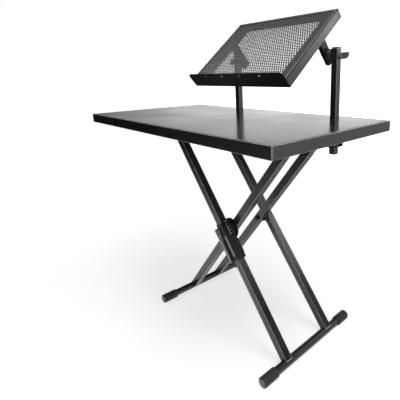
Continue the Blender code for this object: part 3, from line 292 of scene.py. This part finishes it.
def join_loops(shape, first, second):
    """A band of four-sided faces between two closed loops of points."""
    for step in range(len(first)):
        following = (step + 1) % len(first)
        shape.faces.new((first[step], first[following], second[following], second[step]))


def smooth_with_creases(mesh, degrees):
    mesh.shade_smooth()
    mesh.set_sharp_from_angle(angle=math.radians(degrees))


def rectangle(side, front, back):
    """The four corners of a rectangle, going round from its front left one."""
    return [(-side, front), (side, front), (side, back), (-side, back)]


# Perforated sheet: round holes in staggered rows, in the tray's own frame
PANEL_TOP = 0.0952
SHEET_HALF_WIDTH = 0.2272
SHEET_FRONT = -0.2102
SHEET_BACK = 0.0997
SHEET_THICKNESS = 0.0008
HOLE_PITCH = 0.0090
HOLE_RADIUS = 0.0026
HOLE_ROW = HOLE_PITCH * math.sqrt(3) / 2
HOLE_SIDES = 8
HOLE_FIRST_CORNER = -112.5
HOLE_COLUMNS = 49
HOLE_ROWS = 37
HOLE_FRONT = -0.2010


def cell_faces(bottom, top, ring):
    """Faces between one cell's border of six points and its hole's ring of eight."""
    b0, b1, b2 = bottom
    b5, b4, b3 = top
    r = ring
    return [(b0, b1, r[0]), (b1, r[1], r[0]), (b1, b2, r[1]), (b2, r[2], r[1]), (b2, b3, r[3], r[2]),
            (b3, r[4], r[3]), (b3, b4, r[4]), (b4, r[5], r[4]), (b4, b5, r[5]), (b5, r[6], r[5]),
            (b5, b0, r[7], r[6]), (b0, r[0], r[7])]


def sheet_outline():
    """The sheet seen from above: its points, its faces, its holes' rings and its border."""
    left = -HOLE_COLUMNS * HOLE_PITCH / 2
    count = 2 * HOLE_COLUMNS + 1
    points = []
    faces = []

    def add(across, along):
        points.append((across, along))
        return len(points) - 1

    lines = []
    for row in range(HOLE_ROWS + 1):
        along = HOLE_FRONT + row * HOLE_ROW
        lines.append([add(left + step * HOLE_PITCH / 2, along) for step in range(count)])
    rings = []
    for row, (low, high) in enumerate(zip(lines, lines[1:])):
        middle = HOLE_FRONT + (row + 0.5) * HOLE_ROW
        start = row % 2
        if start:
            faces.append((low[0], low[1], high[1], high[0]))
            faces.append((low[-2], low[-1], high[-1], high[-2]))
        for column in range(HOLE_COLUMNS - start):
            k = 2 * column + start
            centre = left + (k + 1) * HOLE_PITCH / 2
            ring = []
            for corner in range(HOLE_SIDES):
                angle = math.radians(360 / HOLE_SIDES * corner + HOLE_FIRST_CORNER)
                across = centre + HOLE_RADIUS * math.cos(angle)
                ring.append(add(across, middle + HOLE_RADIUS * math.sin(angle)))
            rings.append(ring)
            faces.extend(cell_faces(low[k:k + 3], high[k:k + 3], ring))
    front_edge = [add(points[i][0], SHEET_FRONT) for i in lines[0]]
    back_edge = [add(points[i][0], SHEET_BACK) for i in lines[-1]]
    left_column = [front_edge[0]] + [line[0] for line in lines] + [back_edge[0]]
    right_column = [front_edge[-1]] + [line[-1] for line in lines] + [back_edge[-1]]
    left_edge = [add(-SHEET_HALF_WIDTH, points[i][1]) for i in left_column]
    right_edge = [add(SHEET_HALF_WIDTH, points[i][1]) for i in right_column]
    for near, far in ((front_edge, lines[0]), (lines[-1], back_edge)):
        for i in range(count - 1):
            faces.append((near[i], near[i + 1], far[i + 1], far[i]))
    for outer, inner, flip in ((left_edge, left_column, False), (right_edge, right_column, True)):
        for i in range(len(outer) - 1):
            quad = (outer[i], inner[i], inner[i + 1], outer[i + 1])
            faces.append(tuple(reversed(quad)) if flip else quad)
    border = left_edge[:1] + front_edge + right_edge + back_edge[::-1] + left_edge[:0:-1]
    return points, faces, rings, border


def perforated_mesh(name):
    """The closed sheet: its outline above and below, with walls round the border and in each hole."""
    points, faces, rings, border = sheet_outline()
    total = len(points)
    solid = [tuple(face) for face in faces] + [tuple(i + total for i in reversed(face)) for face in faces]
    solid += [(b, a, a + total, b + total) for a, b in zip(border, border[1:] + border[:1])]
    for ring in rings:
        for a, b in zip(ring, ring[1:] + ring[:1]):
            solid.append((a, b, b + total, a + total))
    places = [TRAY @ Vector((x, y, PANEL_TOP)) for x, y in points]
    places += [TRAY @ Vector((x, y, PANEL_TOP - SHEET_THICKNESS)) for x, y in points]
    mesh = bpy.data.meshes.new(name)
    mesh.from_pydata([tuple(place) for place in places], [], solid)
    mesh.validate()
    mesh.update()
    return mesh


def build_perforated_sheet():
    mesh = perforated_mesh("perforated_sheet")
    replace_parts(add_piece("perforated_sheet", mesh, SHEET_PAINTED_LIGHT, "tray"), "tray_panel")


def stacked_rings(name, rings, place, axis, sides=24):
    """A closed turned body from rings (radius, height, six_sided) along an axis."""
    shape = bmesh.new()
    turn = Vector(axis).to_track_quat("Z", "Y").to_matrix().to_4x4()
    placed = Matrix.Translation(place) @ turn
    loops = []
    for radius, height, six_sided in rings:
        loop = []
        for step in range(sides):
            angle = 2 * math.pi * step / sides
            reach = radius
            if six_sided:
                reach = radius / math.cos((angle + math.pi / 6) % (math.pi / 3) - math.pi / 6)
            point = Vector((reach * math.cos(angle), reach * math.sin(angle), height))
            loop.append(shape.verts.new(placed @ point))
        loops.append(loop)
    for low, high in zip(loops, loops[1:]):
        join_loops(shape, low, high)
    shape.faces.new(loops[0])
    shape.faces.new(loops[-1])
    return finished_mesh(name, shape)


def swept_bead(name, path, radius, up, sides=8, closed=False):
    """A round bead along a path of points, mitred where the path turns."""
    shape = bmesh.new()
    count = len(path)
    loops = []
    for index, point in enumerate(path):
        before = path[index - 1] if index or closed else point
        after = path[(index + 1) % count] if index + 1 < count or closed else point
        ahead = (after - point).normalized() + (point - before).normalized()
        ahead.normalize()
        side = ahead.cross(up).normalized()
        rise = side.cross(ahead)
        straight = (after - point).normalized() if (after - point).length else ahead
        stretch = 1 / max(0.5, ahead.dot(straight))
        loop = []
        for step in range(sides):
            angle = 2 * math.pi * step / sides
            offset = radius * (math.cos(angle) * stretch * side + math.sin(angle) * rise)
            loop.append(shape.verts.new(point + offset))
        loops.append(loop)
    pairs = list(zip(loops, loops[1:])) + ([(loops[-1], loops[0])] if closed else [])
    for low, high in pairs:
        join_loops(shape, low, high)
    if not closed:
        shape.faces.new(loops[0])
        shape.faces.new(loops[-1])
    mesh = finished_mesh(name, shape)
    mesh.shade_smooth()
    return mesh


# Lip screws: low button heads with a six-sided socket, in the tray's own frame
SCREW_RADIUS = 0.0048
SCREW_HEIGHT = 0.42 * SCREW_RADIUS
SCREW_ACROSS = (-0.190, 0.0, 0.190)
SCREW_ALONG = -0.2143
SCREW_UP = 0.083


def build_tray_screws():
    """Screws that hold the lip plate to the front of the tray, their rims let into the surface."""
    radius, height = SCREW_RADIUS, SCREW_HEIGHT
    rings = [(0.94 * radius, -0.06 * radius, False), (radius, 0.05 * radius, False),
             (0.97 * radius, 0.35 * height, False), (0.86 * radius, 0.70 * height, False),
             (0.66 * radius, 0.92 * height, False), (0.50 * radius, height, False),
             (0.36 * radius, height, True), (0.34 * radius, 0.25 * height, True)]
    for index, across in enumerate(SCREW_ACROSS):
        name = "lip_screw_{}".format(index)
        mesh = stacked_rings(name, rings, TRAY @ Vector((across, SCREW_ALONG, SCREW_UP)), TRAY_AHEAD)
        smooth_with_creases(mesh, 40)
        add_piece(name, mesh, DARK, "tray")


# Foot cap plugs: rings of radius and height
PLUG_RINGS = [(0.0118, -0.0004, False), (0.0120, 0.0003, False), (0.0116, 0.0005, False),
              (0.0100, 0.0005, False), (0.0096, 0.0001, False), (0.0030, 0.0001, False),
              (0.0026, 0.0004, False), (0.0004, 0.0004, False)]


def build_cap_plugs():
    """The pale moulded face let into the end of each foot cap."""
    for letter in ("a", "b"):
        for end, sign in (("front", -1), ("back", 1)):
            low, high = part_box("foot_cap_{}_{}".format(letter, end))
            middle = (low + high) / 2
            cap_end = low.y if end == "front" else high.y
            name = "cap_plug_{}_{}".format(letter, end)
            mesh = stacked_rings(name, PLUG_RINGS, Vector((middle.x, cap_end, middle.z)), (0, sign, 0))
            smooth_with_creases(mesh, 30)
            add_piece(name, mesh, PLUG_AND_RIM_HIGHLIGHT, "frame_" + letter)


# The long slot of the lock housing, in leg A's own frame; a pale strip on the leg's outer face paints light into
# the slot
SLOT_SPAN = (0.0165, 0.0910)
SLOT_ACROSS = 0.005
SLOT_HALF = 0.0061
LEG_A_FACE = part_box("leg_a_near")[0].y
STRIP_OUTER = LEG_A_FACE - 0.0022
STRIP_INNER = LEG_A_FACE - 0.0001
STRIP_END_STEPS = 12


def build_slot_painted_light_strip():
    """A pale strip on the leg that shows through the housing's long slot: painted light where the slot is in
    shade.
    """
    outline = []
    for centre, first in ((SLOT_SPAN[0] + SLOT_HALF, 90), (SLOT_SPAN[1] - SLOT_HALF, -90)):
        for step in range(STRIP_END_STEPS + 1):
            angle = math.radians(first + 180 / STRIP_END_STEPS * step)
            outline.append((centre + SLOT_HALF * math.cos(angle), SLOT_ACROSS + SLOT_HALF * math.sin(angle)))
    shape = bmesh.new()
    outer, inner = [[shape.verts.new(LEG_A @ Vector((x, y, z))) for x, z in outline]
                    for y in (STRIP_OUTER, STRIP_INNER)]
    join_loops(shape, outer, inner)
    shape.faces.new(outer)
    shape.faces.new(inner)
    add_piece("slot_painted_light_strip", finished_mesh("slot_painted_light_strip", shape), SLOT_PAINTED_LIGHT, "frame_a")


# The toothed edge beside the wheel, in leg A's own frame
STEP_COUNT = 5
STEP_SPAN = (-0.031, 0.022)
STEP_EDGES = (-0.0965, -0.0845)
STEP_BASE = 0.0159
RAIL_RADIUS = 0.0011
STEP_RADIUS = 0.0013


def add_leg_rod(name, ends, radius):
    """A thin plated rod between two places in leg A's own frame."""
    mesh = swept_bead(name, [LEG_A @ Vector(end) for end in ends], radius, LEG_A_SQUARE)
    add_piece(name, mesh, ZINC, "frame_a")


def build_index_steps():
    """The light toothed edge beside the wheel: two thin rails with steps between them."""
    for index, across in enumerate(STEP_EDGES):
        add_leg_rod("index_rail_{}".format(index), [(x, across, STEP_BASE) for x in STEP_SPAN], RAIL_RADIUS)
    for index in range(STEP_COUNT):
        along = STEP_SPAN[0] + (index + 0.5) * (STEP_SPAN[1] - STEP_SPAN[0]) / STEP_COUNT
        add_leg_rod("index_step_{}".format(index), [(along, y, STEP_BASE) for y in STEP_EDGES], STEP_RADIUS)


# The pawl's return spring, in leg A's own frame
SPRING_SPAN = (0.0567, 0.0793)
SPRING_ACROSS = -0.0801
SPRING_RADIUS = 0.0019
SPRING_WIRE = 0.0004
SPRING_TURNS = 6
SPRING_STEPS = 16


def build_pawl_coil():
    """The coil behind the pawl, on frame A in place of the CAD's pawl spring."""
    start, end = SPRING_SPAN
    steps = SPRING_STEPS * SPRING_TURNS
    path = []
    for step in range(steps + 1):
        angle = 2 * math.pi * step / SPRING_STEPS
        along = start + (end - start) * step / steps
        across = SPRING_ACROSS + SPRING_RADIUS * math.cos(angle)
        path.append(LEG_A @ Vector((along, across, SPRING_RADIUS * math.sin(angle))))
    mesh = swept_bead("pawl_coil", path, SPRING_WIRE, LEG_A_DOWN)
    coil = add_piece("pawl_coil", mesh, ZINC, "frame_a")
    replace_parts(coil, "pawl_spring")
    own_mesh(coil)


# The pale bead round the board, a painted highlight on the rim's inner edge, as half width and half depth of its
# line
RIM_LINE = (0.4906, 0.2456)
RIM_HEIGHT = 0.7119
RIM_RADIUS = 0.00045


def build_rim_highlight_bead():
    """A thin pale bead in the groove between the steel rim and the board: a painted highlight where the rim's
    inner edge catches the light.
    """
    side, half = RIM_LINE
    corners = [Vector((x, y, RIM_HEIGHT)) for x, y in rectangle(side, -half, half)]
    mesh = swept_bead("rim_highlight_bead", corners, RIM_RADIUS, Vector((0, 0, 1)), closed=True)
    add_piece("rim_highlight_bead", mesh, PLUG_AND_RIM_HIGHLIGHT, "table")


# Rectangles round the tray's top, each as half width, front and back, in the tray's own frame
BAND_OUTER = (0.2270, -0.2100, 0.0995)
BAND_INNER = (0.2190, -0.2020, 0.0915)
BAND_LOW = 0.0970
BAND_HIGH = 0.0974
ARRIS_PAINTED_SHADE_LINE = (0.2282, -0.2112, 0.1000)
ARRIS_PAINTED_SHADE_HEIGHT = 0.0962
ARRIS_PAINTED_SHADE_RADIUS = 0.0012


def build_tray_flange_highlight():
    """The thin raised pale band on the tray frame's top flange, all the way round: a painted highlight where the
    flange's top catches the light.
    """
    shape = bmesh.new()
    sections = ((BAND_OUTER, BAND_LOW), (BAND_OUTER, BAND_HIGH),
                (BAND_INNER, BAND_HIGH), (BAND_INNER, BAND_LOW))
    loops = [[shape.verts.new(TRAY @ Vector((x, y, height))) for x, y in rectangle(*line)]
             for line, height in sections]
    for first, second in zip(loops, loops[1:] + loops[:1]):
        join_loops(shape, first, second)
    add_piece("tray_flange_highlight", finished_mesh("tray_flange_highlight", shape), FLANGE_PAINTED_HIGHLIGHT, "tray")


def build_tray_arris_shade():
    """A dark bead along the top arris of the tray frame: painted shade where the arris looks dark."""
    corners = [TRAY @ Vector((x, y, ARRIS_PAINTED_SHADE_HEIGHT)) for x, y in rectangle(*ARRIS_PAINTED_SHADE_LINE)]
    mesh = swept_bead("tray_arris_shade", corners, ARRIS_PAINTED_SHADE_RADIUS, TRAY_UP, closed=True)
    add_piece("tray_arris_shade", mesh, ARRIS_PAINTED_SHADE, "tray")


# Camera fitted to the photo's straight edges; the image is 400 by 400
CAMERA_PLACE = (0.9899, -0.7513, 0.8542)
CAMERA_YAW = 0.794
CAMERA_PITCH = 0.2486
CAMERA_ROLL = -0.0182
FOCAL_PIXELS = 352.65
IMAGE_PIXELS = 400
MIDDLE_PIXEL = (266.9, 163.37)
SENSOR = 36.0


def build_camera():
    sin_yaw, cos_yaw = math.sin(CAMERA_YAW), math.cos(CAMERA_YAW)
    sin_pitch, cos_pitch = math.sin(CAMERA_PITCH), math.cos(CAMERA_PITCH)
    ahead = Vector((-sin_yaw * cos_pitch, cos_yaw * cos_pitch, -sin_pitch))
    right = Vector((cos_yaw, sin_yaw, 0))
    up = right.cross(ahead)
    cos_roll, sin_roll = math.cos(CAMERA_ROLL), math.sin(CAMERA_ROLL)
    rolled_right = cos_roll * right + sin_roll * up
    rolled_up = cos_roll * up - sin_roll * right
    data = bpy.data.cameras.new("camera")
    camera = bpy.data.objects.new("camera", data)
    bpy.context.scene.collection.objects.link(camera)
    turn = Matrix((rolled_right, rolled_up, -ahead)).transposed().to_4x4()
    camera.matrix_world = Matrix.Translation(CAMERA_PLACE) @ turn
    data.sensor_width = SENSOR
    data.lens = FOCAL_PIXELS * SENSOR / IMAGE_PIXELS
    data.shift_x = (IMAGE_PIXELS / 2 - MIDDLE_PIXEL[0]) / IMAGE_PIXELS
    data.shift_y = (MIDDLE_PIXEL[1] - IMAGE_PIXELS / 2) / IMAGE_PIXELS
    data.clip_start = 0.02
    bpy.context.scene.camera = camera


# The floor glows evenly towards the camera, so that it reads as white and its shadow stays soft.
# A patch in front of the object glows in reflections, and brightens the lower legs.
FLOOR_RADIUS = 2.6
FLOOR_SIDES = 96
FLOOR_FADE = (0.35, 0.90)
FLOOR_GLOW = 0.63
MIRROR_GLOW = 0.55
MIRROR_MIDDLE = (-0.25, -0.40, 0.0)
MIRROR_FADE = (0.35, 0.85)


def studio_floor(name):
    """A near-white floor that keeps the object's shadow and fades to plain white away from it."""
    material, tree, shader, place = new_tree(name)
    shader.inputs["Base Color"].default_value = (*grey(0.80), 1.0)
    shader.inputs["Roughness"].default_value = 0.8
    shader.inputs["Specular IOR Level"].default_value = 0.1
    shader.inputs["Emission Color"].default_value = WHITE
    reach = tree.nodes.new("ShaderNodeVectorMath")
    reach.operation = "LENGTH"
    tree.links.new(place, reach.inputs[0])
    path = tree.nodes.new("ShaderNodeLightPath")
    direct = math_node(tree, "MULTIPLY", path.outputs["Is Camera Ray"], FLOOR_GLOW)
    front = tree.nodes.new("ShaderNodeVectorMath")
    front.operation = "DISTANCE"
    front.inputs[1].default_value = MIRROR_MIDDLE
    tree.links.new(place, front.inputs[0])
    mirrored = remap(tree, front.outputs["Value"], MIRROR_GLOW, 0.0, *MIRROR_FADE)
    mirrored = math_node(tree, "MULTIPLY", path.outputs["Is Glossy Ray"], mirrored)
    tree.links.new(math_node(tree, "ADD", direct, mirrored), shader.inputs["Emission Strength"])
    far = remap(tree, reach.outputs["Value"], 0.0, 1.0, *FLOOR_FADE)
    white = tree.nodes.new("ShaderNodeEmission")
    mix = tree.nodes.new("ShaderNodeMixShader")
    tree.links.new(math_node(tree, "MULTIPLY", far, path.outputs["Is Camera Ray"]), mix.inputs["Fac"])
    tree.links.new(shader.outputs["BSDF"], mix.inputs[1])
    tree.links.new(white.outputs["Emission"], mix.inputs[2])
    tree.links.new(mix.outputs["Shader"], tree.nodes["Material Output"].inputs["Surface"])
    return material


def build_floor():
    mesh = bpy.data.meshes.new("studio_floor")
    shape = bmesh.new()
    bmesh.ops.create_circle(shape, cap_ends=True, segments=FLOOR_SIDES, radius=FLOOR_RADIUS)
    shape.to_mesh(mesh)
    shape.free()
    floor = bpy.data.objects.new("studio_floor", mesh)
    bpy.context.scene.collection.objects.link(floor)
    mesh.materials.append(studio_floor("studio_floor"))


# The studio is bright low down behind the object, dimmer to its right and dark elsewhere
BRIGHT_SIDE = (-0.45, 0.89, 0.0)
BRIGHT_RANGE = (0.64, 0.95)
BRIGHT_LEVEL = 1.80
RIGHT_RANGE = (0.2, 0.6)
RIGHT_LEVEL = 0.70
GLOW_HEIGHT = (0.08, 0.30)


def build_world():
    world = bpy.data.worlds.new("studio")
    bpy.context.scene.world = world
    world.use_nodes = True
    tree = world.node_tree
    background = tree.nodes["Background"]
    background.inputs["Color"].default_value = WHITE
    toward = tree.nodes.new("ShaderNodeVectorMath")
    toward.operation = "DOT_PRODUCT"
    toward.inputs[1].default_value = BRIGHT_SIDE
    place = tree.nodes.new("ShaderNodeTexCoord").outputs["Generated"]
    tree.links.new(place, toward.inputs[0])
    parts = tree.nodes.new("ShaderNodeSeparateXYZ")
    tree.links.new(place, parts.inputs["Vector"])
    behind = remap(tree, toward.outputs["Value"], 0.0, BRIGHT_LEVEL, *BRIGHT_RANGE)
    right = remap(tree, parts.outputs["X"], 0.0, RIGHT_LEVEL, *RIGHT_RANGE)
    level = math_node(tree, "MULTIPLY", math_node(tree, "MAXIMUM", behind, right),
                      remap(tree, parts.outputs["Z"], 1.0, 0.0, *GLOW_HEIGHT))
    path = tree.nodes.new("ShaderNodeLightPath")
    seen = math_node(tree, "MAXIMUM", path.outputs["Is Camera Ray"], level)
    tree.links.new(seen, background.inputs["Strength"])


# Each lamp's name, place, target, side length in metres and power in watts
LAMPS = (
    ("right_light", (2.6, 0.1, 1.2), (0.0, 0.1, 0.5), 1.2, 6.0),
    ("top_light", (0.9, 0.1, 2.4), (0.1, 0.0, 0.4), 1.3, 31.0),
    ("low_light", (1.2, 1.3, 1.25), (0.3, 0.0, 0.1), 0.6, 2.5),
    ("left_light", (-1.8, -0.4, 2.3), (0.1, 0.0, 0.8), 1.3, 9.0),
    ("front_light", (1.2, -1.9, 1.6), (0.1, 0.0, 0.5), 1.3, 14.0),
)


def build_lamps():
    for name, place, target, side, power in LAMPS:
        data = bpy.data.lights.new(name, "AREA")
        data.shape = "RECTANGLE"
        data.size = side
        data.size_y = side
        data.energy = power
        lamp = bpy.data.objects.new(name, data)
        bpy.context.scene.collection.objects.link(lamp)
        lamp.location = place
        lamp.rotation_euler = (Vector(target) - Vector(place)).to_track_quat("-Z", "Y").to_euler()


def build_studio():
    build_floor()
    build_world()
    build_lamps()
    bpy.context.scene.view_settings.view_transform = "Standard"


build_camera()
dress_nodes()
build_perforated_sheet()
build_tray_screws()
build_cap_plugs()
build_slot_painted_light_strip()
build_index_steps()
build_pawl_coil()
build_rim_highlight_bead()
build_tray_flange_highlight()
build_tray_arris_shade()
build_studio()
